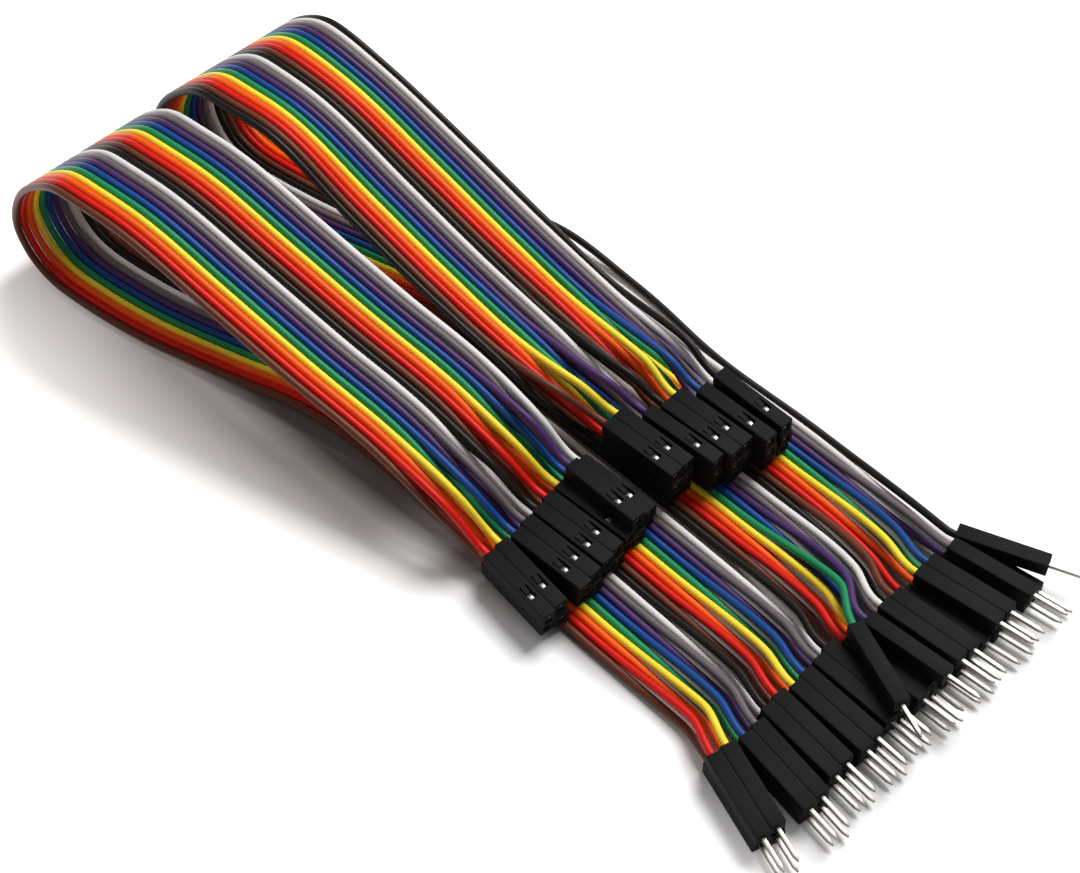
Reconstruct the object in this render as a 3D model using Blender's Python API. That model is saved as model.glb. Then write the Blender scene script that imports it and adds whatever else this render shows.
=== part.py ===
# Breadboard jumper wires: a forty-way rainbow ribbon doubled back on itself, with single-way
# housings on both ends. Units are metres, +Z is up, and the ribbon runs along X.
# The origin lies on the table, under the middle of the whole part.

import math

import bmesh
import bpy
import numpy as np
from mathutils import Matrix, Vector

# Wire and ribbon
wire_count = 40
wire_diameter = 0.00120
lane_gap = 0.00007
near_half_count = 19
wire_bevel_count = 2

# Single-way housing, and what goes into it
housing_size = 0.00254
housing_length = 0.0140
wire_clearance = 0.00035
wire_entry = 0.0020
entry_floor_gap = 0.0004
window_width = 0.0013
window_length = 0.0026
window_depth = 0.0007
window_from_front = 0.0036
socket_width = 0.0010
socket_depth = 0.0030

# Square pin of the male end
pin_width = 0.00064
pin_reach = 0.0056
pin_taper = 0.0010
pin_tip_width = 0.00028
pin_root = 0.0006

# Booleans are made this many times larger, where they keep such small edges apart
work_scale = 1000.0
weld_distance = 0.000001
flat_angle = 0.002

# Stacking
fuse_overlap = 0.00004
stagger = 0.00025
set_back_steps = (-1, 1, 0)
seat_gap = 0.0003

# How a wire comes from its lane to its housing. It runs straight for the last bit, from a fan
# point that lies further back. There it has gone a share of the way across, and a share of the
# way to the row's middle height, and a share of the way from that to its own level.
mouth_reach = 0.0012
male_fan_reach = 0.0080
male_fan_draw = 0.28
male_fan_rise = 0.70
female_fan_reach = 0.0075
female_fan_draw = 0.34
female_fan_rise = 0.42
fan_level_share = 0.80

# Where the rows stand: the near side of each row and the back face of its first group
origin_x = 0.068162
origin_y = 0.022596
male_row_start = -0.0022
female_row_start = -0.0023

# Stations of the ribbon, from the male end round the loop to the female end:
# x, height of the near half, height of the far half, how much lower the far half's far edge
# lies, near edge, width of the split, spread
ribbon_route = (
    (0.1010, 0.0000, 0.0000, 0.0000, 0.0002, 0.0006, 1.045),
    (0.0800, 0.0000, 0.0000, 0.0000, 0.0004, 0.0006, 1.025),
    (0.0600, 0.0000, 0.0000, 0.0000, 0.0002, 0.0008, 1.015),
    (0.0430, 0.0012, 0.0012, 0.0000, -0.0020, 0.0014, 1.030),
    (0.0260, 0.0005, 0.0005, 0.0000, -0.0072, 0.0022, 1.040),
    (0.0090, 0.0000, 0.0000, 0.0000, -0.0118, 0.0030, 1.025),
    (-0.0040, 0.0000, 0.0000, 0.0000, -0.0138, 0.0035, 1.005),
    (-0.0112, 0.0024, 0.0022, 0.0000, -0.0142, 0.0037, 1.000),
    (-0.0136, 0.0078, 0.0078, 0.0000, -0.0143, 0.0038, 1.000),
    (-0.0112, 0.0152, 0.0156, 0.0000, -0.0144, 0.0038, 1.000),
    (-0.0048, 0.0234, 0.0244, 0.0004, -0.0144, 0.0038, 1.000),
    (0.0045, 0.0287, 0.0302, 0.0014, -0.0140, 0.0038, 1.000),
    (0.0150, 0.0279, 0.0302, 0.0044, -0.0123, 0.0036, 1.000),
    (0.0320, 0.0228, 0.0228, 0.0034, -0.0098, 0.0030, 1.000),
    (0.0480, 0.0179, 0.0171, 0.0035, -0.0075, 0.0020, 1.000),
    (0.0630, 0.0137, 0.0126, 0.0042, -0.0052, 0.0012, 1.000),
)

# The outermost wire of the lower layer bows away from the ribbon at these stations
outer_bow = 0.0020
bow_stations = (2, 3)

# Where a wire's route is read: 0 is the inner end in the male housing, 1 its mouth, 2 the fan,
# 3 the first station above, and 19 to 21 the same at the female end
wire_places = (0, 1, 2, 3, 5, 6, 8.3, 9.8, 10.6, 11.4, 12.3, 13.3, 14.3, 15.4, 18, 19, 20, 21)

# Female groups, near to far: back face x, turn in degrees, gap before it,
# and the place of each wire's housing as wire, column, level, extra turn
female_groups = (
    (0.0845, -5.0, 0.0, ((1, 0, 0, 0), (2, 0, 1, 0), (3, 1, 0, 0), (4, 1, 1, 0))),
    (0.0842, 3.0, 0.0003, ((5, 0, 0, 0), (6, 0, 1, 0), (7, 1, 0, 0), (8, 1, 1, 0))),
    (0.0832, 3.5, 0.0003, ((9, 0, 0, 0), (10, 0, 1, 0), (11, 1, 0, 0), (12, 1, 1, 0))),
    (0.0822, 4.0, 0.0003, ((13, 0, 0, 0), (14, 0, 1, 0), (15, 1, 0, 0), (16, 1, 1, 0), (17, 1, 2, -3))),
    (0.0812, 4.0, 0.0003, ((18, 0, 0, 0), (19, 0, 1, 0))),
    (0.0804, 3.0, 0.0038, ((20, 0, 0, 0), (22, 0, 1, 0), (21, 0, 2, 0), (23, 1, 0, 0),
                           (25, 1, 1, 0), (24, 1, 2, 0))),
    (0.0830, 4.0, 0.0007, ((26, 0, 0, 0), (28, 0, 1, 0), (27, 0, 2, 0))),
    (0.0838, 3.5, 0.0003, ((29, 0, 0, 0), (31, 0, 1, 0), (30, 0, 2, 0), (32, 1, 0, 0),
                           (33, 1, 1, 0), (34, 1, 2, 0))),
    (0.0856, 2.5, 0.0005, ((35, 0, 0, 0), (37, 0, 1, 0), (36, 0, 2, 0))),
    (0.0854, 1.0, 0.0010, ((38, 0, 0, 0), (39, 0, 1, 0), (40, 0, 2, 0))),
)

# Male groups, near to far
male_groups = (
    (0.1298, -17.0, 0.0, ((1, 0, 0, 0), (2, 0, 1, 0), (3, 1, 0, 0), (4, 1, 1, 0))),
    (0.1304, -7.0, 0.0004, ((5, 0, 0, 0), (6, 0, 1, 0), (7, 1, 0, 0), (8, 1, 1, 0))),
    (0.1292, -4.0, 0.0003, ((9, 0, 0, 0), (10, 0, 1, 0), (11, 1, 0, 0), (12, 1, 1, 0))),
    (0.1294, -1.5, 0.0004, ((13, 0, 0, 0), (14, 0, 1, 0), (15, 1, 0, 0), (16, 1, 1, 0))),
    (0.1286, 0.0, 0.0004, ((17, 0, 0, 0), (18, 0, 1, 0), (19, 1, 0, 0), (20, 1, 1, 0))),
    (0.1292, 2.0, 0.0004, ((21, 0, 0, 0), (22, 0, 1, 0), (23, 1, 0, 0), (24, 1, 1, 0))),
    (0.1290, 5.0, 0.0005, ((26, 0, 0, 0), (28, 1, 0, 0), (29, 1, 1, 0), (30, 2, 0, 0), (31, 2, 1, 0))),
    (0.1287, 8.0, 0.0004, ((32, 0, 0, 0), (33, 1, 0, 0), (34, 1, 1, 0), (35, 2, 0, 0), (36, 2, 1, 0))),
    (0.1285, 9.0, 0.0018, ((37, 0, 0, 0), (38, 0, 1, 0), (39, 1, 0, 0), (40, 1, 1, 14))),
)

# The last male group is a pair of housings that lie crossed on top of the row
top_pair = (0.1300, 0.0, 0.0, ((25, 0, 0, -20), (27, 0.84, 0, 5)))
top_pair_y = 0.0274

# Colours of one decade of wires, near to far, as linear red, green, blue
wire_colours = (
    ("brown", (0.150, 0.060, 0.020)),
    ("red", (0.700, 0.030, 0.015)),
    ("orange", (0.900, 0.190, 0.015)),
    ("yellow", (0.900, 0.660, 0.060)),
    ("green", (0.015, 0.270, 0.100)),
    ("blue", (0.010, 0.070, 0.300)),
    ("purple", (0.100, 0.040, 0.150)),
    ("grey", (0.180, 0.170, 0.170)),
    ("white", (0.850, 0.830, 0.830)),
    ("black", (0.012, 0.011, 0.010)),
)
wire_roughness = 0.35
housing_colour = (0.005, 0.005, 0.005)
housing_roughness = 0.42

wire_radius = wire_diameter / 2
wire_pitch = wire_diameter + lane_gap
slot_pitch = housing_size - fuse_overlap
female_floor = wire_diameter + seat_gap


def new_collection(name):
    collection = bpy.data.collections.new(name)
    bpy.context.scene.collection.children.link(collection)
    return collection


def new_material(name, colour, roughness, metallic=0.0):
    material = bpy.data.materials.new(name)
    material.use_nodes = True
    shader = material.node_tree.nodes["Principled BSDF"]
    shader.inputs["Base Color"].default_value = (*colour, 1.0)
    shader.inputs["Roughness"].default_value = roughness
    shader.inputs["Metallic"].default_value = metallic
    return material


def link_to(obj, collection):
    for owner in list(obj.users_collection):
        owner.objects.unlink(obj)
    collection.objects.link(obj)


def block(name, low_x, high_x, width, middle_z=0.0, height=None):
    # A box from low_x to high_x, square in section unless a height is given, at working scale
    height = width if height is None else height
    bpy.ops.mesh.primitive_cube_add(size=1.0)
    obj = bpy.context.object
    obj.name = name
    size = Matrix.Diagonal((high_x - low_x, width, height, 1.0))
    middle = Matrix.Translation(((low_x + high_x) / 2, 0.0, middle_z))
    obj.data.transform(Matrix.Scale(work_scale, 4) @ middle @ size)
    return obj


def combine(target, tool, operation):
    # Boolean of two meshes, applied at once; the second object is used up
    modifier = target.modifiers.new(operation.lower(), "BOOLEAN")
    modifier.operation = operation
    modifier.solver = "EXACT"
    modifier.object = tool
    evaluated = target.evaluated_get(bpy.context.evaluated_depsgraph_get())
    mesh = bpy.data.meshes.new_from_object(evaluated)
    target.modifiers.remove(modifier)
    target.data = mesh
    bpy.data.objects.remove(tool)


def wire_entry_cutter():
    width = wire_diameter + 2 * wire_clearance
    return block("wire_entry", -housing_size, wire_entry + entry_floor_gap, width)


def female_housing():
    # Back face on X = 0, latch window on the +Z side, pin socket in the front face
    body = block("female_master", 0.0, housing_length, housing_size)
    combine(body, wire_entry_cutter(), "DIFFERENCE")
    window_end = housing_length - window_from_front
    window_top = housing_size / 2
    window = block("latch_window", window_end - window_length, window_end, window_width, window_top, 2 * window_depth)
    combine(body, window, "DIFFERENCE")
    socket = block("pin_socket", housing_length - socket_depth, housing_length + socket_depth, socket_width)
    combine(body, socket, "DIFFERENCE")
    return body


def square_pin():
    # The shaft is a box; its end face is drawn out once more and narrowed to the tip
    tip_start = housing_length + pin_reach - pin_taper
    pin = block("square_pin", housing_length - pin_root, tip_start, pin_width)
    mesh = bmesh.new()
    mesh.from_mesh(pin.data)
    end = max(mesh.faces, key=lambda face: face.calc_center_median().x)
    tip = bmesh.ops.extrude_discrete_faces(mesh, faces=[end])["faces"][0]
    bmesh.ops.translate(mesh, verts=tip.verts, vec=(pin_taper * work_scale, 0.0, 0.0))
    narrowing = pin_tip_width / pin_width
    bmesh.ops.scale(mesh, verts=tip.verts, vec=(1.0, narrowing, narrowing))
    mesh.to_mesh(pin.data)
    mesh.free()
    return pin


def male_housing():
    body = block("male_master", 0.0, housing_length, housing_size)
    combine(body, wire_entry_cutter(), "DIFFERENCE")
    combine(body, square_pin(), "UNION")
    return body


def row_places(groups, start_y, floor):
    # Where every housing of a row stands. Groups stand side by side, each as wide as its
    # columns, and keep their gap at the back face or at the front, whichever is tighter.
    places = {}
    last_side = None
    for number, (back_x, turn, gap, housings) in enumerate(groups):
        slope = math.tan(math.radians(turn))
        half = (column_count(housings) * slot_pitch + fuse_overlap) / 2 / math.cos(math.radians(turn))
        if last_side is None:
            middle = start_y + half
        else:
            ends = (back_x, back_x + housing_length)
            middle = max(last_side(x) + half - slope * (x - back_x) for x in ends) + gap
        places.update(group_places(number, groups[number], middle, floor))
        last_side = side_line(back_x, middle + half, slope)
    return places


def side_line(back_x, back_y, slope):
    return lambda x: back_y + slope * (x - back_x)


def column_count(housings):
    return 1 + int(max(column for _, column, _, _ in housings))


def group_places(number, group, middle, floor):
    # A housing's own matrix is kept apart from its group's, so that a group is fused unturned
    places = {}
    back_x, turn, _, housings = group
    frame = Matrix.Translation((back_x, middle, floor)) @ turned(turn)
    for order, (wire, column, level, extra_turn) in enumerate(housings):
        side = (column - (column_count(housings) - 1) / 2) * slot_pitch
        set_back = stagger * set_back_steps[order % len(set_back_steps)]
        height = level * slot_pitch + housing_size / 2
        seat = Matrix.Translation((set_back, side, height)) @ turned(extra_turn)
        places[wire] = (number, frame, seat, window_roll(housings, column, level))
    return places


def window_roll(housings, column, level):
    # A latch window faces down at the bottom of a stack, outwards under another housing, else up
    covered = any(abs(other - column) < 1 and above == level + 1 for _, other, above, _ in housings)
    if level == 0:
        return math.pi
    if not covered:
        return 0.0
    return math.pi / 2 if column == 0 else -math.pi / 2


def turned(degrees):
    return Matrix.Rotation(math.radians(degrees), 4, "Z")


def clean_flats(data):
    # Joins the strips that a union leaves on one flat face
    mesh = bmesh.new()
    mesh.from_mesh(data)
    bmesh.ops.remove_doubles(mesh, verts=mesh.verts, dist=weld_distance * work_scale)
    bmesh.ops.dissolve_limit(mesh, angle_limit=flat_angle, verts=mesh.verts, edges=mesh.edges)
    mesh.to_mesh(data)
    mesh.free()


def stack_group(name, number, master, places, material, collection):
    # One fused block from the housings of a group
    result = None
    enlarge = Matrix.Scale(work_scale, 4)
    reduce = Matrix.Scale(1 / work_scale, 4)
    members = [place for place in places.values() if place[0] == number]
    for _, frame, seat, roll in members:
        copy = bpy.data.objects.new("housing", master.data.copy())
        copy.data.transform(enlarge @ seat @ reduce @ Matrix.Rotation(roll, 4, "X"))
        link_to(copy, bpy.context.scene.collection)
        if result is None:
            result = copy
            continue
        combine(result, copy, "UNION")
    clean_flats(result.data)
    result.data.transform(Matrix.Translation((-origin_x, -origin_y, 0.0)) @ frame @ reduce)
    result.name = name
    result.data.name = name
    result.data.materials.clear()
    result.data.materials.append(material)
    link_to(result, collection)
    return result


def lane_point(wire, station):
    x, near_height, far_height, far_drop, near_edge, split, spread = ribbon_route[station]
    y = near_edge + (wire - 0.5) * wire_pitch * spread
    height = near_height
    if wire > near_half_count:
        y += split
        height = far_height - far_drop * (wire - near_half_count) / (wire_count - near_half_count)
    if wire == wire_count and station in bow_stations:
        y += outer_bow
    return (x, y, wire_radius + height)


def end_points(place, lane_end, middle_height, reach, draw, rise):
    # Points of a wire's end, from the lane inwards: a fan point, the mouth and the inner end
    _, frame, seat, _ = place
    housing = frame @ seat
    mouth = housing @ Vector((-mouth_reach, 0.0, 0.0))
    inner = housing @ Vector((wire_entry, 0.0, 0.0))
    lane = Vector(lane_end)
    fan = housing @ Vector((-reach, 0.0, 0.0))
    fan.y = lane.y + (fan.y - lane.y) * draw
    fan.z = lane.z + (middle_height - lane.z) * rise + (fan.z - middle_height) * fan_level_share
    return [tuple(fan), tuple(mouth), tuple(inner)]


def smooth_curve(points, places):
    # Cubic through the points, by chord length; a place of 2.5 is half-way between the third
    # point and the fourth. At each point it runs as a parabola through its neighbours would,
    # held back where that would carry it past them.
    points = np.array(points)
    steps = np.linalg.norm(np.diff(points, axis=0), axis=1)[:, None]
    slopes = np.diff(points, axis=0) / steps
    before, after = slopes[:-1], slopes[1:]
    middle = (before * steps[1:] + after * steps[:-1]) / (steps[:-1] + steps[1:])
    limit = 3 * np.minimum(abs(before), abs(after))
    middle = np.where(before * after > 0, np.clip(middle, -limit, limit), 0.0)
    slopes = np.vstack((slopes[:1], middle, slopes[-1:]))
    first = np.minimum(places.astype(int), len(points) - 2)
    share = (places - first)[:, None]
    rest = 1.0 - share
    line = points[first] * rest**2 * (1 + 2 * share) + points[first + 1] * share**2 * (1 + 2 * rest)
    return line + steps[first] * rest * share * (slopes[first] * rest - slopes[first + 1] * share)


def wire_route(wire, male_places, female_places):
    lanes = [lane_point(wire, station) for station in range(len(ribbon_route))]
    male_fan = (male_fan_reach, male_fan_draw, male_fan_rise)
    female_fan = (female_fan_reach, female_fan_draw, female_fan_rise)
    male_end = end_points(male_places[wire], lanes[0], housing_size, *male_fan)
    female_end = end_points(female_places[wire], lanes[-1], female_floor + housing_size, *female_fan)
    return male_end[::-1] + lanes + female_end


def wire_curve(name, points, material, collection):
    curve = bpy.data.curves.new(name, "CURVE")
    curve.dimensions = "3D"
    curve.bevel_depth = wire_radius
    curve.bevel_resolution = wire_bevel_count
    curve.use_fill_caps = True
    spline = curve.splines.new("POLY")
    spline.points.add(len(points) - 1)
    for point, place in zip(spline.points, points):
        point.co = (place[0] - origin_x, place[1] - origin_y, place[2], 1.0)
    curve.materials.append(material)
    obj = bpy.data.objects.new(name, curve)
    collection.objects.link(obj)
    return obj


def build_housings(parts, male_places, female_places):
    black = new_material("housing_black", housing_colour, housing_roughness)
    female_master = female_housing()
    male_master = male_housing()
    for number in range(len(female_groups)):
        name = f"female_housings_{number + 1:02d}"
        stack_group(name, number, female_master, female_places, black, parts)
    for number in range(len(male_groups) + 1):
        name = f"male_housings_{number + 1:02d}"
        stack_group(name, number, male_master, male_places, black, parts)
    bpy.data.objects.remove(female_master)
    bpy.data.objects.remove(male_master)


def build_wires(parts, male_places, female_places):
    materials = [new_material(f"wire_{name}", colour, wire_roughness) for name, colour in wire_colours]
    places = np.array(wire_places)
    for wire in range(1, wire_count + 1):
        decade_place = (wire - 1) % len(wire_colours)
        curve = smooth_curve(wire_route(wire, male_places, female_places), places)
        name = f"wire_{wire:02d}_{wire_colours[decade_place][0]}"
        wire_curve(name, curve, materials[decade_place], parts)


def main():
    for obj in list(bpy.data.objects):
        bpy.data.objects.remove(obj)
    parts = new_collection("breadboard_jumper_wires")
    male_places = row_places(male_groups, male_row_start, 0.0)
    top_floor = 2 * slot_pitch + fuse_overlap + seat_gap
    male_places.update(group_places(len(male_groups), top_pair, top_pair_y, top_floor))
    female_places = row_places(female_groups, female_row_start, female_floor)
    build_housings(parts, male_places, female_places)
    build_wires(parts, male_places, female_places)


main()
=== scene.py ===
# Breadboard jumper wires: a forty-way rainbow ribbon folded back on itself, dressed on its solids
import math

import bmesh
import bpy
import numpy as np
from mathutils import Matrix, Vector


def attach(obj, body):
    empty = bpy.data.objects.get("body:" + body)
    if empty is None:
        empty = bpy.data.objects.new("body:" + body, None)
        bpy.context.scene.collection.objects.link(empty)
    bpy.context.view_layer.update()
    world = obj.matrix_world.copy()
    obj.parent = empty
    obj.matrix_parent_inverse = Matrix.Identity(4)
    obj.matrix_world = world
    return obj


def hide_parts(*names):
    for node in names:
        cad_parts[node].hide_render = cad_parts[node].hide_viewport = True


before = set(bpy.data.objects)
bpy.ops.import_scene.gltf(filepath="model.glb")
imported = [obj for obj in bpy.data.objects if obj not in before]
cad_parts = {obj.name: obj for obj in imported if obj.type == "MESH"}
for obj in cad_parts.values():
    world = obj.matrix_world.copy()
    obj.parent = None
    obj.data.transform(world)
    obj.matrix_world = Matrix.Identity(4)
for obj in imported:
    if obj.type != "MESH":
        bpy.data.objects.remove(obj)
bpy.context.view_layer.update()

print("frame loaded:", len(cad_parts), "solids")

# The ribbon. Stations run from the pin end round the loop to the socket end. Each gives its x,
# the height of the near half, the height of the far half, how much lower the far half's far
# edge lies, the near edge, the width of the split and the spread of the wires. A fan gives how
# far behind its housing a wire bends, and which shares of the way across and of the way to the
# row's middle height it has gone by then.
ribbon = {
    "wireDiameter": 0.00120,
    "wirePitch": 0.00127,
    "wireCount": 40,
    "nearHalfCount": 19,
    "origin": (0.068162, 0.022596),
    "stations": (
        (0.1010, 0.0000, 0.0000, 0.0000, 0.0002, 0.0006, 1.045),
        (0.0800, 0.0000, 0.0000, 0.0000, 0.0004, 0.0006, 1.025),
        (0.0600, 0.0000, 0.0000, 0.0000, 0.0002, 0.0008, 1.015),
        (0.0430, 0.0012, 0.0012, 0.0000, -0.0020, 0.0014, 1.030),
        (0.0260, 0.0005, 0.0005, 0.0000, -0.0072, 0.0022, 1.040),
        (0.0090, 0.0000, 0.0000, 0.0000, -0.0118, 0.0030, 1.025),
        (-0.0040, 0.0000, 0.0000, 0.0000, -0.0138, 0.0035, 1.005),
        (-0.0112, 0.0024, 0.0022, 0.0000, -0.0142, 0.0037, 1.000),
        (-0.0136, 0.0078, 0.0078, 0.0000, -0.0143, 0.0038, 1.000),
        (-0.0112, 0.0152, 0.0156, 0.0000, -0.0144, 0.0038, 1.000),
        (-0.0048, 0.0234, 0.0244, 0.0004, -0.0144, 0.0038, 1.000),
        (0.0045, 0.0287, 0.0302, 0.0014, -0.0140, 0.0038, 1.000),
        (0.0150, 0.0279, 0.0302, 0.0044, -0.0123, 0.0036, 1.000),
        (0.0320, 0.0228, 0.0228, 0.0034, -0.0098, 0.0030, 1.000),
        (0.0480, 0.0179, 0.0171, 0.0035, -0.0075, 0.0020, 1.000),
        (0.0630, 0.0137, 0.0126, 0.0042, -0.0052, 0.0012, 1.000),
    ),
    "outerBow": 0.0020,
    "bowStations": (2, 3),
    "mouthReach": 0.0012,
    "innerReach": 0.0020,
    "pinFan": (0.0080, 0.28, 0.70),
    "socketFan": (0.0075, 0.34, 0.42),
    "levelShare": 0.80,
    "ringCount": 240,
    "sideCount": 16,
    "readings": 700,
    "easing": 9,
    "smoothAngle": 60.0,
}

# How the housings stack. Each group is: back face x, turn in degrees, gap before it, and for
# each wire its column, level and extra turn. Neighbours stand back by the stagger in turn, and
# the top pair lies loose over the middle of the male row.
rows = {
    "slotPitch": 0.0025,
    "housingSize": 0.00254,
    "stagger": 0.00025,
    "setBackSteps": (-1, 1, 0),
    "seatGap": 0.0003,
    "maleStart": -0.0022,
    "femaleStart": -0.0023,
    "femaleGroups": (
        (0.0845, -5.0, 0.0, ((1, 0, 0, 0), (2, 0, 1, 0), (3, 1, 0, 0), (4, 1, 1, 0))),
        (0.0842, 3.0, 0.0003, ((5, 0, 0, 0), (6, 0, 1, 0), (7, 1, 0, 0), (8, 1, 1, 0))),
        (0.0832, 3.5, 0.0003, ((9, 0, 0, 0), (10, 0, 1, 0), (11, 1, 0, 0), (12, 1, 1, 0))),
        (0.0822, 4.0, 0.0003, ((13, 0, 0, 0), (14, 0, 1, 0), (15, 1, 0, 0), (16, 1, 1, 0),
                               (17, 1, 2, -3))),
        (0.0812, 4.0, 0.0003, ((18, 0, 0, 0), (19, 0, 1, 0))),
        (0.0804, 3.0, 0.0038, ((20, 0, 0, 0), (22, 0, 1, 0), (21, 0, 2, 0), (23, 1, 0, 0),
                               (25, 1, 1, 0), (24, 1, 2, 0))),
        (0.0830, 4.0, 0.0007, ((26, 0, 0, 0), (28, 0, 1, 0), (27, 0, 2, 0))),
        (0.0838, 3.5, 0.0003, ((29, 0, 0, 0), (31, 0, 1, 0), (30, 0, 2, 0), (32, 1, 0, 0),
                               (33, 1, 1, 0), (34, 1, 2, 0))),
        (0.0856, 2.5, 0.0005, ((35, 0, 0, 0), (37, 0, 1, 0), (36, 0, 2, 0))),
        (0.0854, 1.0, 0.0010, ((38, 0, 0, 0), (39, 0, 1, 0), (40, 0, 2, 0))),
    ),
    "maleGroups": (
        (0.1298, -17.0, 0.0, ((1, 0, 0, 0), (2, 0, 1, 0), (3, 1, 0, 0), (4, 1, 1, 0))),
        (0.1304, -7.0, 0.0004, ((5, 0, 0, 0), (6, 0, 1, 0), (7, 1, 0, 0), (8, 1, 1, 0))),
        (0.1292, -4.0, 0.0003, ((9, 0, 0, 0), (10, 0, 1, 0), (11, 1, 0, 0), (12, 1, 1, 0))),
        (0.1294, -1.5, 0.0004, ((13, 0, 0, 0), (14, 0, 1, 0), (15, 1, 0, 0), (16, 1, 1, 0))),
        (0.1286, 0.0, 0.0004, ((17, 0, 0, 0), (18, 0, 1, 0), (19, 1, 0, 0), (20, 1, 1, 0))),
        (0.1292, 2.0, 0.0004, ((21, 0, 0, 0), (22, 0, 1, 0), (23, 1, 0, 0), (24, 1, 1, 0))),
        (0.1290, 5.0, 0.0005, ((26, 0, 0, 0), (28, 1, 0, 0), (29, 1, 1, 0), (30, 2, 0, 0),
                               (31, 2, 1, 0))),
        (0.1287, 8.0, 0.0004, ((32, 0, 0, 0), (33, 1, 0, 0), (34, 1, 1, 0), (35, 2, 0, 0),
                               (36, 2, 1, 0))),
        (0.1285, 9.0, 0.0018, ((37, 0, 0, 0), (38, 0, 1, 0), (39, 1, 0, 0), (40, 1, 1, 14))),
    ),
    "topPair": (0.1300, 0.0, 0.0, ((25, 0, 0, -20), (27, 0.84, 0, 5))),
    "topPairY": 0.0274,
}


def turned(degrees):
    # About the upright axis
    return Matrix.Rotation(math.radians(degrees), 4, "Z")


def columnCount(members):
    # One more than the highest column's number
    return 1 + int(max(column for _, column, _, _ in members))


def windowRoll(members, column, level):
    # A latch window faces down at the bottom of a stack, outwards under another housing, else up
    covered = any(abs(other - column) < 1 and above == level + 1 for _, other, above, _ in members)
    if level == 0:
        return math.pi
    if not covered:
        return 0.0
    return math.pi / 2 if column == 0 else -math.pi / 2


def groupPlaces(number, group, middle, floor):
    # For each wire of a group: the group's number and its housing's matrix
    places = {}
    backX, turn, _, members = group
    shift = Matrix.Translation((-ribbon["origin"][0], -ribbon["origin"][1], 0.0))
    groupFrame = shift @ Matrix.Translation((backX, middle, floor)) @ turned(turn)
    for order, (wire, column, level, extraTurn) in enumerate(members):
        side = (column - (columnCount(members) - 1) / 2) * rows["slotPitch"]
        setBack = rows["stagger"] * rows["setBackSteps"][order % len(rows["setBackSteps"])]
        height = level * rows["slotPitch"] + rows["housingSize"] / 2
        seat = Matrix.Translation((setBack, side, height)) @ turned(extraTurn)
        places[wire] = (number, groupFrame @ seat, windowRoll(members, column, level))
    return places


def rowPlaces(groups, startY, floor):
    # Groups stand side by side and keep their gap at whichever end is tighter
    places = {}
    lastSide = None
    for number, group in enumerate(groups):
        backX, turn, gap, members = group
        slope = math.tan(math.radians(turn))
        width = (columnCount(members) - 1) * rows["slotPitch"] + rows["housingSize"]
        half = width / 2 / math.cos(math.radians(turn))
        if lastSide is None:
            middle = startY + half
        else:
            lastX, lastY, lastSlope = lastSide
            ends = (backX, backX + housing["length"])
            middles = [lastY + lastSlope * (x - lastX) + half - slope * (x - backX) for x in ends]
            middle = max(middles) + gap
        places.update(groupPlaces(number, group, middle, floor))
        lastSide = (backX, middle + half, slope)
    return places


def lanePoint(wire, station):
    # A wire's place across the ribbon at a station
    x, nearHeight, farHeight, farDrop, nearEdge, split, spread = ribbon["stations"][station]
    y = nearEdge + (wire - 0.5) * ribbon["wirePitch"] * spread
    height = nearHeight
    nearCount = ribbon["nearHalfCount"]
    if wire > nearCount:
        y += split
        height = farHeight - farDrop * (wire - nearCount) / (ribbon["wireCount"] - nearCount)
    if wire == ribbon["wireCount"] and station in ribbon["bowStations"]:
        y += ribbon["outerBow"]
    originX, originY = ribbon["origin"]
    return Vector((x - originX, y - originY, ribbon["wireDiameter"] / 2 + height))


def endPoints(place, lane, middleHeight, fanShares):
    # A wire's end from the lane inwards: a fan point, the mouth and the inner end
    seat = place[1]
    reach, draw, rise = fanShares
    mouth = seat @ Vector((-ribbon["mouthReach"], 0.0, 0.0))
    inner = seat @ Vector((ribbon["innerReach"], 0.0, 0.0))
    fan = seat @ Vector((-reach, 0.0, 0.0))
    fan.y = lane.y + (fan.y - lane.y) * draw
    fan.z = lane.z + (middleHeight - lane.z) * rise + (fan.z - middleHeight) * ribbon["levelShare"]
    return [fan, mouth, inner]


def smoothCurve(points, places):
    # Cubic through the points by chord length; at each point it runs as a parabola through its
    # neighbours would, held back where that would carry it past them
    points = np.array([tuple(point) for point in points])
    steps = np.linalg.norm(np.diff(points, axis=0), axis=1)[:, None]
    slopes = np.diff(points, axis=0) / steps
    before, after = slopes[:-1], slopes[1:]
    middle = (before * steps[1:] + after * steps[:-1]) / (steps[:-1] + steps[1:])
    limit = 3 * np.minimum(abs(before), abs(after))
    middle = np.where(before * after > 0, np.clip(middle, -limit, limit), 0.0)
    slopes = np.vstack((slopes[:1], middle, slopes[-1:]))
    first = np.minimum(places.astype(int), len(points) - 2)
    share = (places - first)[:, None]
    rest = 1.0 - share
    line = points[first] * rest**2 * (1 + 2 * share) + points[first + 1] * share**2 * (1 + 2 * rest)
    return line + steps[first] * rest * share * (slopes[first] * rest - slopes[first + 1] * share)


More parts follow.
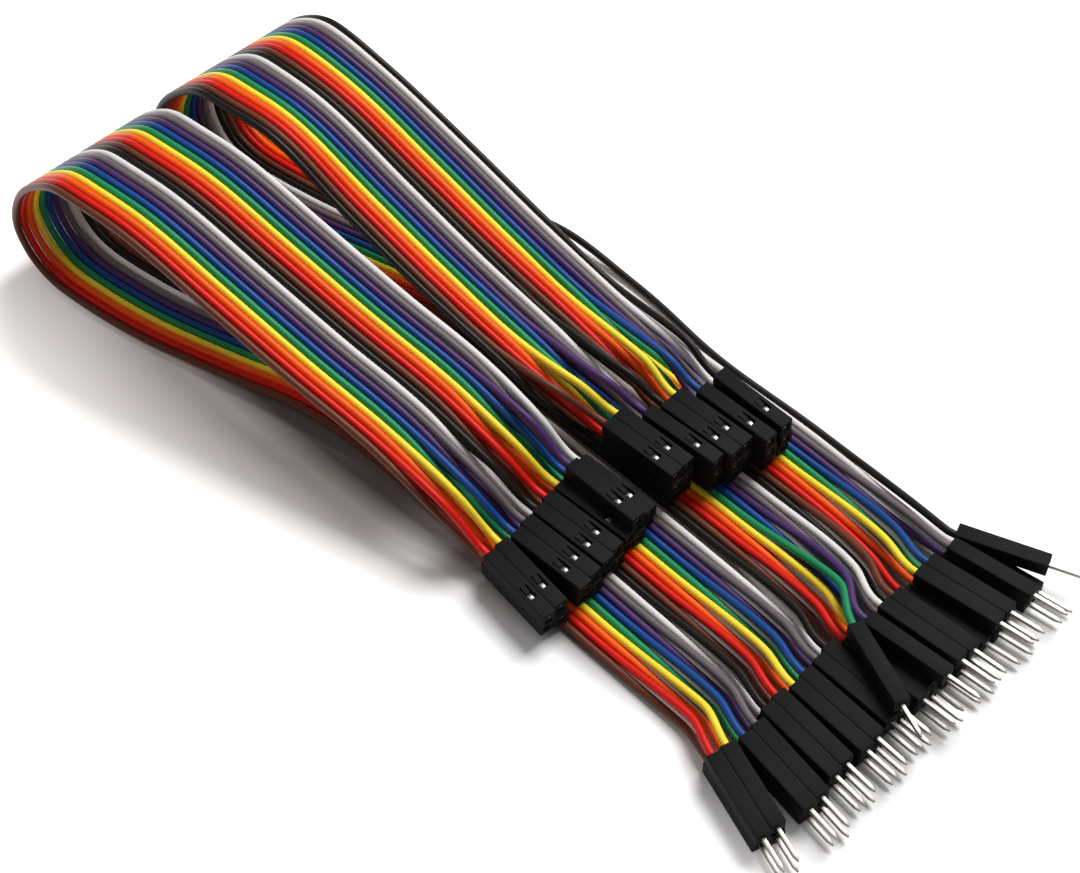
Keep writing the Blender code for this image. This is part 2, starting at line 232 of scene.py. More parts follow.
def wireLine(wire, malePlaces, femalePlaces):
    # The route's curve, eased by a running mean of its readings, then read at even steps of length
    stationCount = len(ribbon["stations"])
    lanes = [lanePoint(wire, station) for station in range(stationCount)]
    size = rows["housingSize"]
    femaleHeight = ribbon["wireDiameter"] + rows["seatGap"] + size
    maleEnd = endPoints(malePlaces[wire], lanes[0], size, ribbon["pinFan"])
    femaleEnd = endPoints(femalePlaces[wire], lanes[-1], femaleHeight, ribbon["socketFan"])
    route = maleEnd[::-1] + lanes + femaleEnd
    line = smoothCurve(route, np.linspace(0.0, len(route) - 1, ribbon["readings"]))
    window = ribbon["easing"]
    for _ in range(2):
        before, after = (end.repeat(window // 2, axis=0) for end in (line[:1], line[-1:]))
        padded = np.vstack((before, line, after))
        total = np.cumsum(np.vstack((np.zeros((1, 3)), padded)), axis=0)
        eased = (total[window:] - total[:-window]) / window
        hold = np.minimum(np.arange(len(line)), np.arange(len(line))[::-1])[:, None]
        line = np.where(hold < window, line, eased)
    along = np.concatenate(([0.0], np.cumsum(np.linalg.norm(np.diff(line, axis=0), axis=1))))
    even = np.linspace(0.0, along[-1], ribbon["ringCount"])
    return np.stack([np.interp(even, along, line[:, axis]) for axis in range(3)], axis=1), along[-1]


def newMesh(name, points, quads, caps=(), uv=None):
    # points is an array of places, quads an array of four indices a row, caps lists of indices
    mesh = bpy.data.meshes.new(name)
    faces = [tuple(quad) for quad in quads.tolist()] + [tuple(cap) for cap in caps]
    mesh.from_pydata(points.tolist(), [], faces)
    if uv is not None:
        layer = mesh.uv_layers.new(name="along")
        corner = np.zeros((len(mesh.loops), 2))
        corner[:len(uv)] = uv
        layer.data.foreach_set("uv", corner.ravel())
    mesh.update()
    return mesh


def gridQuads(ringCount, sideCount, offset=0):
    # Quads between neighbouring rings of a closed profile
    ring = np.arange(ringCount - 1)[:, None] * sideCount
    side = np.arange(sideCount)[None, :]
    ahead = (side + 1) % sideCount
    following = ring + sideCount
    quads = np.stack((ring + side, ring + ahead, following + ahead, following + side), axis=-1)
    return quads.reshape(-1, 4) + offset


def finishPiece(name, mesh, material, smoothAngle):
    # Faces outwards, smooth but for edges sharper than the angle; rides on the one body
    work = bmesh.new()
    work.from_mesh(mesh)
    bmesh.ops.recalc_face_normals(work, faces=work.faces)
    work.to_mesh(mesh)
    work.free()
    mesh.polygons.foreach_set("use_smooth", np.ones(len(mesh.polygons), dtype=bool))
    mesh.set_sharp_from_angle(angle=math.radians(smoothAngle))
    mesh.materials.append(material)
    piece = bpy.data.objects.new(name, mesh)
    bpy.context.scene.collection.objects.link(piece)
    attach(piece, "root")
    return piece


def wireMesh(name, line):
    # A circle carried along the line: the centre, plus the radius times the cosine of the way
    # round along the ribbon's width, plus the radius times its sine upwards
    sideCount, ringCount = ribbon["sideCount"], len(line)
    tangent = np.gradient(line, axis=0)
    tangent /= np.linalg.norm(tangent, axis=1)[:, None]
    across = np.array([0.0, 1.0, 0.0]) - tangent[:, 1:2] * tangent
    across /= np.linalg.norm(across, axis=1)[:, None]
    upward = np.cross(tangent, across)
    angle = np.arange(sideCount) / sideCount * 2 * np.pi
    radius = ribbon["wireDiameter"] / 2
    sideways, high = np.cos(angle)[None, :, None], np.sin(angle)[None, :, None]
    circle = sideways * across[:, None] + high * upward[:, None]
    points = (line[:, None] + radius * circle).reshape(-1, 3)
    quads = gridQuads(ringCount, sideCount)
    along = np.concatenate(([0.0], np.cumsum(np.linalg.norm(np.diff(line, axis=0), axis=1))))
    step = np.arange(sideCount) / sideCount
    near = np.stack(np.broadcast_arrays(along[:-1, None], step[None]), axis=-1)
    ahead = near + (0.0, 1.0 / sideCount)
    far = np.stack(np.broadcast_arrays(along[1:, None], step[None]), axis=-1)
    farAhead = far + (0.0, 1.0 / sideCount)
    uv = np.stack((near, ahead, farAhead, far), axis=2).reshape(-1, 2)
    last = (ringCount - 1) * sideCount
    caps = [list(range(sideCount))[::-1], list(range(last, last + sideCount))]
    return newMesh(name, points, quads, caps, uv)


# One single-way housing, with its back face on X = 0 and its latch window on the +Z side
housing = {
    "length": 0.0140,
    "halfSize": 0.00125,
    "cornerRadius": 0.00014,
    "edgeRadius": 0.00010,
    "edgeMiddle": 0.3,
    "entryHalf": 0.00094,
    "entryDepth": 0.0024,
    "entryCorner": 0.0002,
    "wallChamfer": 0.00008,
    "windowWidth": 0.0013,
    "windowLength": 0.0026,
    "windowFromFront": 0.0036,
    "windowDepth": 0.00060,
    "tongueWidth": 0.00078,
    "tongueShare": 0.52,
    "tongueDip": 0.00022,
    "sharpStep": 0.00004,
    "socketHalf": 0.00052,
    "socketFlare": 0.00078,
    "flareDepth": 0.00028,
    "socketDepth": 0.0030,
    "socketCorner": 0.00005,
    "mouthCorner": 0.00006,
    "pinHoleHalf": 0.00044,
    "pinHoleDepth": 0.0012,
    "smoothAngle": 28.0,
}


# The points along a plain side of a square, as shares of its half length
plainSide = np.array([-1.0, 0.0, 1.0])


def squareRing(half, corner, fractions):
    # Rounded square in Y and Z: along each side the corner-free half length times the fractions,
    # and an arc between sides; the first side is the top one and has the window's own fractions
    arc = np.radians((30.0, 60.0))
    ring = []
    for number in range(4):
        out = np.array([math.sin(number * math.pi / 2), math.cos(number * math.pi / 2)])
        ahead = np.array([out[1], -out[0]])
        share = fractions if number == 0 else plainSide
        ring.append(half * out + share[:, None] * (half - corner) * ahead)
        bend = np.cos(arc)[:, None] * out + np.sin(arc)[:, None] * ahead
        ring.append((half - corner) * (out + ahead) + corner * bend)
    return np.vstack(ring)


def squareLoft(stations, fractions, depths=None):
    # Rounded squares at (x, half size, corner radius); depths push the first side's points inwards
    rings = np.array([squareRing(half, corner, fractions) for _, half, corner in stations])
    points = np.zeros((*rings.shape[:2], 3))
    points[:, :, 0] = np.array([x for x, _, _ in stations])[:, None]
    points[:, :, 1:] = rings
    if depths is not None:
        points[:, :len(fractions), 2] -= depths
    return points


def closedShell(points, offset=0):
    # One loft's flat points, its quads and its two end caps
    ringCount, sideCount = points.shape[:2]
    last = offset + (ringCount - 1) * sideCount
    caps = [list(range(offset, offset + sideCount))[::-1], list(range(last, last + sideCount))]
    return points.reshape(-1, 3), gridQuads(ringCount, sideCount, offset), caps


def outerStations():
    # The outside of a housing: both end edges rounded by a middle ring, a share of their radius
    # from either face, and rings close together at the latch window's edges
    keys = ("length", "halfSize", "cornerRadius", "edgeRadius")
    length, half, corner, edge = (housing[key] for key in keys)
    bevel = housing["edgeMiddle"] * edge
    windowEnd = length - housing["windowFromFront"]
    windowStart = windowEnd - housing["windowLength"]
    tongueEnd = windowStart + housing["windowLength"] * housing["tongueShare"]
    step = housing["sharpStep"]
    back = [(0.0, half - edge, corner), (bevel, half - bevel, corner), (edge, half, corner)]
    middle = [(x, half, corner) for x in (windowStart - step, windowStart, tongueEnd - step, tongueEnd)]
    middle += [(x, half, corner) for x in (windowEnd - step, windowEnd)]
    front = [(length - x, size, corner) for x, size, corner in back[::-1]]
    return back, middle, front


def windowDepths():
    # Rows are the six rings of the window, columns the points across the top side: a U-shaped
    # slot round a tongue that hangs from the window's back edge, and the open end beyond it
    half, corner, step = housing["halfSize"], housing["cornerRadius"], housing["sharpStep"]
    window, tongue = housing["windowWidth"] / 2, housing["tongueWidth"] / 2
    marks = np.array([tongue, tongue + step, window - step, window]) / (half - corner)
    fractions = np.concatenate(([-1.0], -marks[::-1], marks, [1.0]))
    deep, dip = housing["windowDepth"], housing["tongueDip"]
    plain = np.zeros(len(fractions))
    inSlot = np.array([0, 0, 1, 1, 0, 0, 1, 1, 0, 0], dtype=bool)
    inTongue = np.array([0, 0, 0, 0, 1, 1, 0, 0, 0, 0], dtype=bool)
    rowStart = np.where(inSlot, deep, plain)
    rowTip = np.where(inTongue, dip, rowStart)
    rowOpen = np.where(inSlot | inTongue, deep, plain)
    return fractions, np.array([plain, rowStart, rowTip, rowOpen, rowOpen, plain])


def housingPoints(female):
    # From the bottom of the wire entry out over the back face, along the outside, over the front
    # face and into the socket or the pin's hole
    back, middle, front = outerStations()
    entry, depth, chamfer = housing["entryHalf"], housing["entryDepth"], housing["wallChamfer"]
    length, corner, mouthCorner = housing["length"], housing["entryCorner"], housing["mouthCorner"]
    inward = [(depth, entry, corner), (chamfer, entry, corner), (0.0, entry + chamfer, corner)]
    if female:
        socket, socketCorner = housing["socketHalf"], housing["socketCorner"]
        mouth = [(length, housing["socketFlare"], mouthCorner)]
        mouth += [(length - housing["flareDepth"], socket, socketCorner)]
        mouth += [(length - housing["socketDepth"], socket, socketCorner)]
    else:
        hole = housing["pinHoleHalf"]
        mouth = [(length, hole + chamfer, mouthCorner), (length - chamfer, hole, mouthCorner)]
        mouth += [(length - housing["pinHoleDepth"], hole, mouthCorner)]
    fractions, windowRows = windowDepths()
    stations = inward + back + middle + front + mouth
    depths = np.zeros((len(stations), len(fractions)))
    if female:
        first = len(inward) + len(back)
        depths[first:first + len(middle)] = windowRows
    return squareLoft(stations, fractions, depths)


# The crimped contact in a housing, on the housing's own axes
contact = {
    "pinHalf": 0.00032,
    "pinCorner": 0.00006,
    "pinInside": 0.0010,
    "pinReach": 0.0056,
    "pinTaper": 0.0010,
    "shoulder": 0.0001,
    "shoulderShare": 0.98,
    "tipHalf": 0.00013,
    "tipLength": 0.00012,
    "tipShares": (1.15, 0.7),
    "tipCornerShares": (0.8, 0.5),
    "boxHalf": 0.00047,
    "boxCorner": 0.00008,
    "boxInnerCorner": 0.00004,
    "boxWall": 0.00010,
    "boxSetBack": 0.00042,
    "boxEdge": (0.00003, 0.00004),
    "boxBackGap": 0.0001,
    "boxBottom": 0.0003,
    "stripHalf": 0.00050,
    "stripGaps": (0.00014, 0.00012),
    "stripRise": 0.00005,
    "stripCrown": 0.00022,
    "stripSunk": 0.00002,
    "stripGrid": (9, 7),
    "stripEnds": (0.06, 0.94),
    "wingRadius": 0.00080,
    "wingWall": 0.00012,
    "wingStart": 0.0006,
    "wingEnd": 0.0020,
    "wingOpening": 70.0,
    "wingGrid": (15, 4),
    "smoothAngle": 40.0,
}


def wingPoints():
    # Crimp wings: an arc of sheet round the wire, open at the top, carried a short way along X
    opening = math.radians(contact["wingOpening"]) / 2
    acrossCount, alongCount = contact["wingGrid"]
    angle = np.linspace(math.pi / 2 + opening, 2.5 * math.pi - opening, acrossCount)
    outer = contact["wingRadius"]
    inner = outer - contact["wingWall"]
    profile = np.vstack((
        np.stack((outer * np.cos(angle), outer * np.sin(angle)), axis=1),
        np.stack((inner * np.cos(angle[::-1]), inner * np.sin(angle[::-1])), axis=1)))
    places = np.linspace(contact["wingStart"], contact["wingEnd"], alongCount)
    points = np.zeros((len(places), len(profile), 3))
    points[:, :, 0] = places[:, None]
    points[:, :, 1:] = profile[None]
    return points


def pinPoints():
    # Square pin: a rounded square carried along X and narrowed to a blunt tip
    start = housing["length"] - contact["pinInside"]
    end = housing["length"] + contact["pinReach"]
    half, corner = contact["pinHalf"], contact["pinCorner"]
    taper = end - contact["pinTaper"]
    stations = [(start, half, corner), (taper - contact["shoulder"], half, corner)]
    stations += [(taper, half * contact["shoulderShare"], corner)]
    tips = zip((end - contact["tipLength"], end), contact["tipShares"], contact["tipCornerShares"])
    stations += [(x, contact["tipHalf"] * share, corner * bend) for x, share, bend in tips]
    return squareLoft(stations, plainSide)


def socketBoxPoints():
    # Square box of sheet behind the socket's mouth, open in front: out along its outside,
    # round the front edge and back along its inside
    front = housing["length"] - contact["boxSetBack"]
    back = housing["length"] - housing["socketDepth"] + contact["boxBackGap"]
    half, corner, innerCorner = (contact[key] for key in ("boxHalf", "boxCorner", "boxInnerCorner"))
    innerHalf = half - contact["boxWall"]
    edge, innerEdge = contact["boxEdge"]
    stations = [(back, half, corner), (front - edge, half, corner), (front, half - edge, corner)]
    stations += [(front - innerEdge, innerHalf, innerCorner)]
    stations += [(back + contact["boxBottom"], innerHalf, innerCorner)]
    return squareLoft(stations, plainSide)


def stripPoints():
    # The contact's back, seen through the latch window: a shallow pillow of sheet. Its crown falls
    # off as one less the fourth power of the way to a side, and its height grows with the square
    # root of a half sine from end to end
    startGap, endGap = contact["stripGaps"]
    end = housing["length"] - housing["windowFromFront"] - endGap
    start = end - housing["windowLength"] * (1 - housing["tongueShare"]) + startGap
    half, rise, crown = contact["stripHalf"], contact["stripRise"], contact["stripCrown"]
    floor = housing["halfSize"] - housing["windowDepth"]
    acrossCount, alongCount = contact["stripGrid"]
    across = np.linspace(-1.0, 1.0, acrossCount)
    profile = np.stack((half * across, floor + rise + crown * (1 - across**4)), axis=1)
    low = np.full(acrossCount, floor - contact["stripSunk"])
    under = np.stack((half * across[::-1], low), axis=1)
    ring = np.vstack((profile, under))
    share = np.linspace(0.0, 1.0, alongCount)
    points = np.zeros((len(share), len(ring), 3))
    points[:, :, 0] = (start + (end - start) * share)[:, None]
    points[:, :, 1] = ring[None, :, 0]
    swell = np.sin(np.pi * np.clip(share, *contact["stripEnds"]))**0.5
    points[:, :, 2] = floor + (ring[None, :, 1] - floor) * swell[:, None]
    return points


def joinShells(shells):
    # Several closed lofts as one mesh's points, quads and caps
    points, quads, caps = [], [], []
    offset = 0
    for shell in shells:
        flat, shellQuads, shellCaps = closedShell(shell, offset)
        points.append(flat)
        quads.append(shellQuads)
        caps += shellCaps
        offset += len(flat)
    return np.vstack(points), np.vstack(quads), caps


def placed(points, matrix):
    # The points of a master, turned and moved by a matrix
    array = np.array(matrix)
    return points @ array[:3, :3].T + array[:3, 3]


def hexToLinear(code):
    # A screen colour as the linear one that shaders take
    values = np.array([int(code[start:start + 2], 16) / 255 for start in (1, 3, 5)])
    linear = np.where(values <= 0.04045, values / 12.92, ((values + 0.055) / 1.055)**2.4)
    return (*linear.tolist(), 1.0)


def addNode(tree, kind, settings=None, links=None):
    # Adds a node, sets its properties and its sockets by name or number, and links (socket, source
    # node, output)
    node = tree.nodes.new(kind)
    for key, value in (settings or {}).items():
        if isinstance(key, str) and hasattr(node, key):
            setattr(node, key, value)
        else:
            node.inputs[key].default_value = value
    for socket, source, output in links or ():
        tree.links.new(source.outputs[output], node.inputs[socket])
    return node


def newMaterial(name):
    # A material, its node tree and its shader
    material = bpy.data.materials.new(name)
    material.use_nodes = True
    return material, material.node_tree, material.node_tree.nodes["Principled BSDF"]


# Colours of one decade of wires, near to far
wireColours = (
    ("brown", "#6a3420"),
    ("red", "#dc1405"),
    ("orange", "#ff5d06"),
    ("yellow", "#ffe63a"),
    ("green", "#1a8c58"),
    ("blue", "#0a468e"),
    ("purple", "#4c2e66"),
    ("grey", "#6f6468"),
    ("white", "#e6e2e0"),
    ("black", "#15100c"),
)

# Sizes are those of one patch of noise. A bump is its strength and its height.
vinyl = {
    "roughness": 0.44,
    "refraction": 1.53,
    "specular": 0.22,
    "lineLength": 0.01667,
    "lineWidth": 0.000754,
    "lineBump": (0.04, 0.00003),
    "cloudSize": 0.00714,
    "cloudShade": 0.84,
}


def extrudedVinyl(name, code):
    # Soft PVC drawn through a die: a satin gloss over faint lengthwise lines, drawn coarser than
    # the real ones so that they show, in a colour that clouds down to the shade's share of itself
    material, tree, shader = newMaterial(name)
    shader.inputs["Roughness"].default_value = vinyl["roughness"]
    shader.inputs["IOR"].default_value = vinyl["refraction"]
    shader.inputs["Specular IOR Level"].default_value = vinyl["specular"]
    place = addNode(tree, "ShaderNodeUVMap", {"uv_map": "along"})
    linesRound = math.pi * ribbon["wireDiameter"] / vinyl["lineWidth"]
    lines = addNode(tree, "ShaderNodeMapping", {"Scale": (1 / vinyl["lineLength"], linesRound, 1.0)},
                    [("Vector", place, "UV")])
    drawn = addNode(tree, "ShaderNodeTexNoise", {"Scale": 1.0, "Detail": 2.0},
                    [("Vector", lines, "Vector")])
    strength, height = vinyl["lineBump"]
    bump = addNode(tree, "ShaderNodeBump", {"Strength": strength, "Distance": height},
                   [("Height", drawn, "Fac")])
    tree.links.new(bump.outputs["Normal"], shader.inputs["Normal"])
    place = addNode(tree, "ShaderNodeTexCoord")
    cloud = addNode(tree, "ShaderNodeTexNoise", {"Scale": 1 / vinyl["cloudSize"], "Detail": 3.0},
                    [("Vector", place, "Object")])
    base = hexToLinear(code)
    dark = tuple(value * vinyl["cloudShade"] for value in base[:3]) + (1.0,)
    tint = addNode(tree, "ShaderNodeMix", {"data_type": "RGBA", 6: dark, 7: base},
                   [("Factor", cloud, "Fac")])
    tree.links.new(tint.outputs[2], shader.inputs["Base Color"])
    return material


nylon = {
    "refraction": 1.53,
    "specular": 0.12,
    "grainSize": 0.000154,
    "grainBump": (0.35, 0.00002),
    "dustSize": 0.00238,
    "colours": ("#0a0a0b", "#161618"),
    "roughness": (0.58, 0.72),
}


def mouldedNylon(name):
    # Black glass-filled nylon from a spark-eroded mould: a fine matt grain, coarser than the real
    # one so that it shows. One noise mixes the clean black and the dusty one, which is rougher
    material, tree, shader = newMaterial(name)
    shader.inputs["IOR"].default_value = nylon["refraction"]
    shader.inputs["Specular IOR Level"].default_value = nylon["specular"]
    place = addNode(tree, "ShaderNodeTexCoord")
    grain = addNode(tree, "ShaderNodeTexNoise", {"Scale": 1 / nylon["grainSize"], "Detail": 2.0},
                    [("Vector", place, "Object")])
    strength, height = nylon["grainBump"]
    bump = addNode(tree, "ShaderNodeBump", {"Strength": strength, "Distance": height},
                   [("Height", grain, "Fac")])
    tree.links.new(bump.outputs["Normal"], shader.inputs["Normal"])
    dust = addNode(tree, "ShaderNodeTexNoise", {"Scale": 1 / nylon["dustSize"], "Detail": 4.0},
                   [("Vector", place, "Object")])
    clean, dusty = (hexToLinear(code) for code in nylon["colours"])
    tint = addNode(tree, "ShaderNodeMix", {"data_type": "RGBA", 6: clean, 7: dusty},
                   [("Factor", dust, "Fac")])
    tree.links.new(tint.outputs[2], shader.inputs["Base Color"])
    smoothest, roughest = nylon["roughness"]
    rough = addNode(tree, "ShaderNodeMapRange", {"To Min": smoothest, "To Max": roughest},
                    [("Value", dust, "Fac")])
    tree.links.new(rough.outputs["Result"], shader.inputs["Roughness"])
    return material


tin = {
    "streakSize": (0.00333, 0.000385, 0.000385),
    "colours": ("#86837e", "#a9a6a0"),
    "roughness": (0.36, 0.50),
}


def tinnedBrass(name):
    # Stamped brass strip plated with tin: a grey metal whose tint and roughness follow one noise,
    # drawn out along X into streaks
    material, tree, shader = newMaterial(name)
    shader.inputs["Metallic"].default_value = 1.0
    place = addNode(tree, "ShaderNodeTexCoord")
    perMetre = [1 / size for size in tin["streakSize"]]
    streak = addNode(tree, "ShaderNodeMapping", {"Scale": perMetre}, [("Vector", place, "Object")])
    grain = addNode(tree, "ShaderNodeTexNoise", {"Scale": 1.0, "Detail": 2.0},
                    [("Vector", streak, "Vector")])
    dark, bright = (hexToLinear(code) for code in tin["colours"])
    tint = addNode(tree, "ShaderNodeMix", {"data_type": "RGBA", 6: dark, 7: bright},
                   [("Factor", grain, "Fac")])
    tree.links.new(tint.outputs[2], shader.inputs["Base Color"])
    smoothest, roughest = tin["roughness"]
    rough = addNode(tree, "ShaderNodeMapRange", {"To Min": smoothest, "To Max": roughest},
                    [("Value", grain, "Fac")])
    tree.links.new(rough.outputs["Result"], shader.inputs["Roughness"])
    return material


# The white sweep. Distance on it is measured in reaches from its middle, in a rounded rectangle
# that is turned with the ribbon. Up to the first mark its colour is painted darker, a painted shade
# under the object; from the second it is the plain card, and from the third it fades to paper white, 1,
# at the last.
sweep = {
    "half": 3.0,
    "roughness": 0.9,
    "card": "#f4f4f4",
    "paintedShade": "#7c7876",
    # painted shade: the card's darker colour under the object
    "brightener": "#6f6f6f",
    "shadowTint": "#fffcfb",
    "turn": -4.0,
    "reach": (0.084, 0.031),
    "marks": (0.80, 0.94, 1.00, 1.85),
}


def studioFloor(name):
    # Matt card. The distance is the fourth root of (x / reach)^4 + (y / reach)^4. Near the middle the
    # card's colour is a painted shade under the object, and there the brightener is held off. The fade
    # is a glow that only the camera and reflections see, so the floor keeps the object's shadow.
    material, tree, shader = newMaterial(name)
    shader.inputs["Roughness"].default_value = sweep["roughness"]
    place = addNode(tree, "ShaderNodeTexCoord")
    shares = [1 / reach for reach in sweep["reach"]]
    level = addNode(tree, "ShaderNodeMapping", {"Rotation": (0.0, 0.0, math.radians(sweep["turn"]))},
                    [("Vector", place, "Object")])
    shrunk = addNode(tree, "ShaderNodeMapping", {"Scale": (*shares, 0.0)},
                     [("Vector", level, "Vector")])
    square = addNode(tree, "ShaderNodeVectorMath", {"operation": "MULTIPLY"},
                     [(0, shrunk, "Vector"), (1, shrunk, "Vector")])
    length = addNode(tree, "ShaderNodeVectorMath", {"operation": "LENGTH"}, [(0, square, "Vector")])
    distance = addNode(tree, "ShaderNodeMath", {"operation": "SQRT"}, [(0, length, "Value")])
    paintedShadeEnd, cardStart, fadeStart, fadeEnd = sweep["marks"]
    # Painted shade: the card's colour is darker up to the first mark and blends to the plain card by
    # the second
    clearOfPaintedShade = addNode(tree, "ShaderNodeMapRange", {"From Min": paintedShadeEnd, "From Max": cardStart},
                  [("Value", distance, "Value")])
    away = addNode(tree, "ShaderNodeMapRange", {"From Min": fadeStart, "From Max": fadeEnd},
                   [("Value", distance, "Value")])
    paintedShade, plain = hexToLinear(sweep["paintedShade"]), hexToLinear(sweep["card"])
    colour = addNode(tree, "ShaderNodeMix", {"data_type": "RGBA", 6: paintedShade, 7: plain},
                     [("Factor", clearOfPaintedShade, "Result")])
    tree.links.new(colour.outputs[2], shader.inputs["Base Color"])
    rays = addNode(tree, "ShaderNodeLightPath")
    seen = addNode(tree, "ShaderNodeMath", {"operation": "MAXIMUM"},
                   [(0, rays, "Is Camera Ray"), (1, rays, "Is Glossy Ray")])
    seenToo = addNode(tree, "ShaderNodeMath", {"operation": "MAXIMUM"},
                      [(0, seen, "Value"), (1, rays, "Is Transmission Ray")])
    # The brightener is held off where the shade is painted
    seenClearOfPaintedShade = addNode(tree, "ShaderNodeMath", {"operation": "MULTIPLY"},
                      [(0, seenToo, "Value"), (1, clearOfPaintedShade, "Result")])
    lift = addNode(tree, "ShaderNodeMath", {"operation": "MULTIPLY"},
                   [(0, seenToo, "Value"), (1, away, "Result")])
    glow = addNode(tree, "ShaderNodeEmission", {"Color": hexToLinear(sweep["shadowTint"])},
                   [("Strength", lift, "Value")])
    brightener = addNode(tree, "ShaderNodeBsdfDiffuse", {"Color": hexToLinear(sweep["brightener"])})
    shown = addNode(tree, "ShaderNodeMixShader", None,
                    [("Fac", seenClearOfPaintedShade, "Value"), (2, brightener, "BSDF")])
    card = addNode(tree, "ShaderNodeAddShader", None, [(0, shader, "BSDF"), (1, shown, "Shader")])
    both = addNode(tree, "ShaderNodeAddShader", None, [(0, card, "Shader"), (1, glow, "Emission")])
    tree.links.new(both.outputs["Shader"], tree.nodes["Material Output"].inputs["Surface"])
    return material


# The photograph's camera: 1080 by 873 pixels, focal length in those pixels
view = {
    "place": (0.2374, -0.1297, 0.2907),
    "pitch": 52.2,
    "yaw": -47.7,
    "roll": -1.13,
    "focalPixels": 2400.0,
    "widePixels": 1080.0,
    "sensor": 36.0,
}


def makeCamera():
    # Looks down by the pitch, turns by the yaw from Y and rolls about its own axis
    pitch, yaw, roll = (math.radians(view[key]) for key in ("pitch", "yaw", "roll"))
    ahead = math.cos(pitch)
    forward = Vector((math.sin(yaw) * ahead, math.cos(yaw) * ahead, -math.sin(pitch)))
    level = Vector((math.cos(yaw), -math.sin(yaw), 0.0))
    upward = level.cross(forward)
    right = level * math.cos(roll) + upward * math.sin(roll)
    top = upward * math.cos(roll) - level * math.sin(roll)
    data = bpy.data.cameras.new("camera")
    data.sensor_width = view["sensor"]
    data.lens = view["focalPixels"] / view["widePixels"] * view["sensor"]
    data.clip_start = 0.01
    data.clip_end = 20.0
    camera = bpy.data.objects.new("camera", data)
    turn = Matrix((right, top, -forward)).transposed().to_4x4()
    place = Vector(view["place"]) - Vector((*ribbon["origin"], 0.0))
    camera.matrix_world = Matrix.Translation(place) @ turn
    bpy.context.scene.collection.objects.link(camera)
    bpy.context.scene.camera = camera


# A big soft box overhead and behind, a weak one in front, and an even surround
studio = {
    "surround": "#fffbf9",
    "surroundLevel": 0.22,
    "keyWatts": 15.8,
    "keyPlace": (-0.08, 0.68, 0.98),
    "keySize": 0.60,
    "fillWatts": 1.5,
    "fillPlace": (-0.9, -0.6, 0.8),
    "fillSize": 0.9,
}


def addLamp(name, watts, place, size):
    # A square soft box that looks at the middle of the object
    data = bpy.data.lights.new(name, "AREA")
    data.energy = watts
    data.size = size
    lamp = bpy.data.objects.new(name, data)
    lamp.location = place
    lamp.rotation_euler = (-Vector(place)).to_track_quat("-Z", "Y").to_euler()
    bpy.context.scene.collection.objects.link(lamp)


def makeStudio():
    # The sweep, the surround and the lamps
    half = sweep["half"]
    mesh = bpy.data.meshes.new("floor")
    corners = [(-half, -half, 0.0), (half, -half, 0.0), (half, half, 0.0), (-half, half, 0.0)]
    mesh.from_pydata(corners, [], [(0, 1, 2, 3)])
    mesh.materials.append(studioFloor("studio_floor"))
    floor = bpy.data.objects.new("floor", mesh)
    bpy.context.scene.collection.objects.link(floor)
    world = bpy.data.worlds.new("studio")
    bpy.context.scene.world = world
    world.use_nodes = True
    surround = world.node_tree.nodes["Background"]
    surround.inputs["Color"].default_value = hexToLinear(studio["surround"])
    surround.inputs["Strength"].default_value = studio["surroundLevel"]
    addLamp("key", studio["keyWatts"], studio["keyPlace"], studio["keySize"])
    addLamp("fill", studio["fillWatts"], studio["fillPlace"], studio["fillSize"])
    bpy.context.scene.view_settings.view_transform = "Standard"


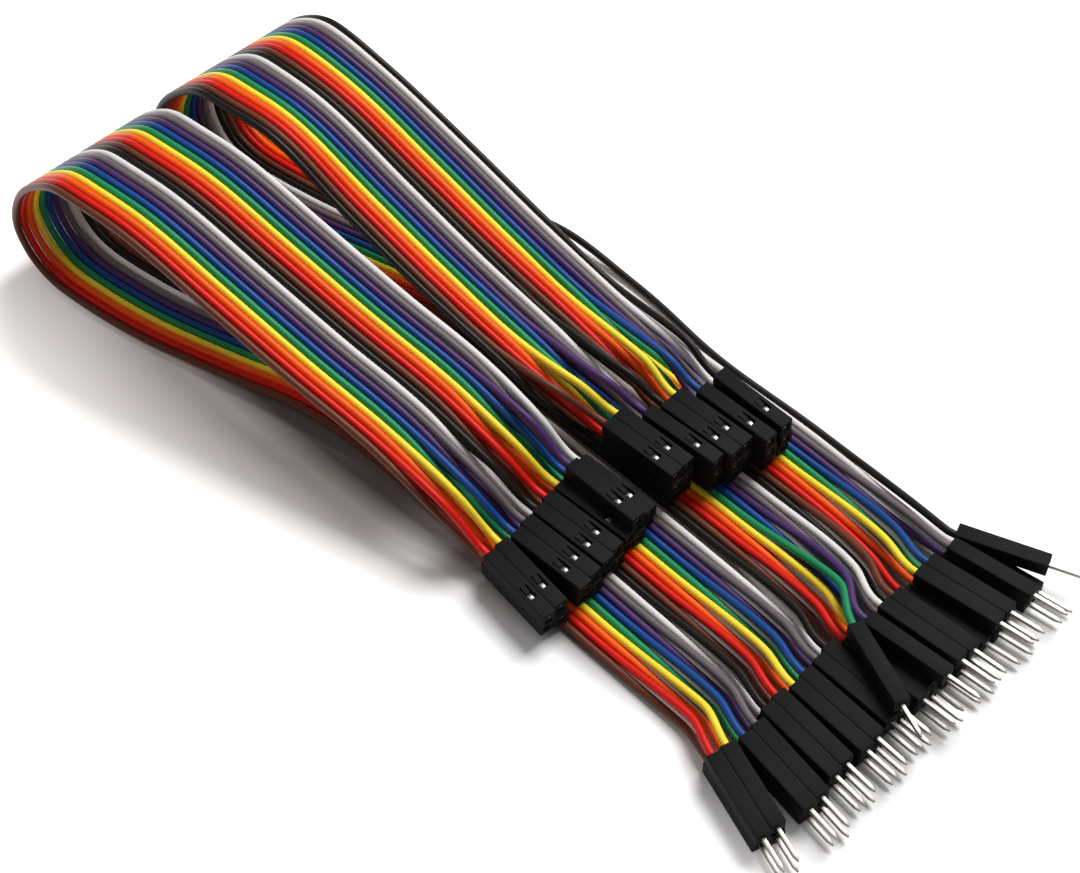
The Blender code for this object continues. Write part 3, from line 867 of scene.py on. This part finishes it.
def makeWires(malePlaces, femalePlaces):
    # Forty leads, each over its own solid
    wires = {}
    paints = [extrudedVinyl(f"vinyl_{name}", code) for name, code in wireColours]
    for wire in range(1, ribbon["wireCount"] + 1):
        colour = (wire - 1) % len(wireColours)
        line, length = wireLine(wire, malePlaces, femalePlaces)
        colourName = wireColours[colour][0]
        mesh = wireMesh(f"lead_{wire:02d}", line)
        name = f"lead_{wire:02d}_{colourName}"
        piece = finishPiece(name, mesh, paints[colour],
                            ribbon["smoothAngle"])
        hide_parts(f"wire_{wire:02d}_{colourName}")
        wires[wire] = (piece, line, length)
    print("wires made:", len(wires))
    return wires


def makeHousings(places, female, plastic):
    # Forty housings of a kind, each a placed copy of its master
    kind = "female" if female else "male"
    flat, quads, caps = closedShell(housingPoints(female))
    pieces = {}
    for wire, (number, seat, roll) in sorted(places.items()):
        name = f"{kind}_housing_{wire:02d}"
        mesh = newMesh(name, placed(flat, seat @ Matrix.Rotation(roll, 4, "X")), quads, caps)
        piece = finishPiece(name, mesh, plastic, housing["smoothAngle"])
        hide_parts(f"{kind}_housings_{number + 1:02d}")
        pieces[wire] = piece
    print(kind, "housings made:", len(pieces))
    return pieces


def makeContacts(places, female, metal):
    # Forty contacts of a kind, in their housings
    kind = "socket" if female else "pin"
    shells = [wingPoints(), socketBoxPoints(), stripPoints()] if female else [wingPoints(), pinPoints()]
    flat, quads, caps = joinShells(shells)
    pieces = {}
    for wire, (_, seat, roll) in sorted(places.items()):
        name = f"{kind}_contact_{wire:02d}"
        mesh = newMesh(name, placed(flat, seat @ Matrix.Rotation(roll, 4, "X")), quads, caps)
        pieces[wire] = finishPiece(name, mesh, metal, contact["smoothAngle"])
    print(kind, "contacts made:", len(pieces))
    return pieces


makeCamera()
malePlaces = rowPlaces(rows["maleGroups"], rows["maleStart"], 0.0)
topFloor = rows["slotPitch"] + rows["housingSize"] + rows["seatGap"]
malePlaces.update(groupPlaces(len(rows["maleGroups"]), rows["topPair"], rows["topPairY"], topFloor))
femaleFloor = ribbon["wireDiameter"] + rows["seatGap"]
femalePlaces = rowPlaces(rows["femaleGroups"], rows["femaleStart"], femaleFloor)
wires = makeWires(malePlaces, femalePlaces)
plastic = mouldedNylon("housing_nylon")
metal = tinnedBrass("contact_tin")
femaleHousings = makeHousings(femalePlaces, True, plastic)
maleHousings = makeHousings(malePlaces, False, plastic)
sockets = makeContacts(femalePlaces, True, metal)
pins = makeContacts(malePlaces, False, metal)
makeStudio()
print("studio made")
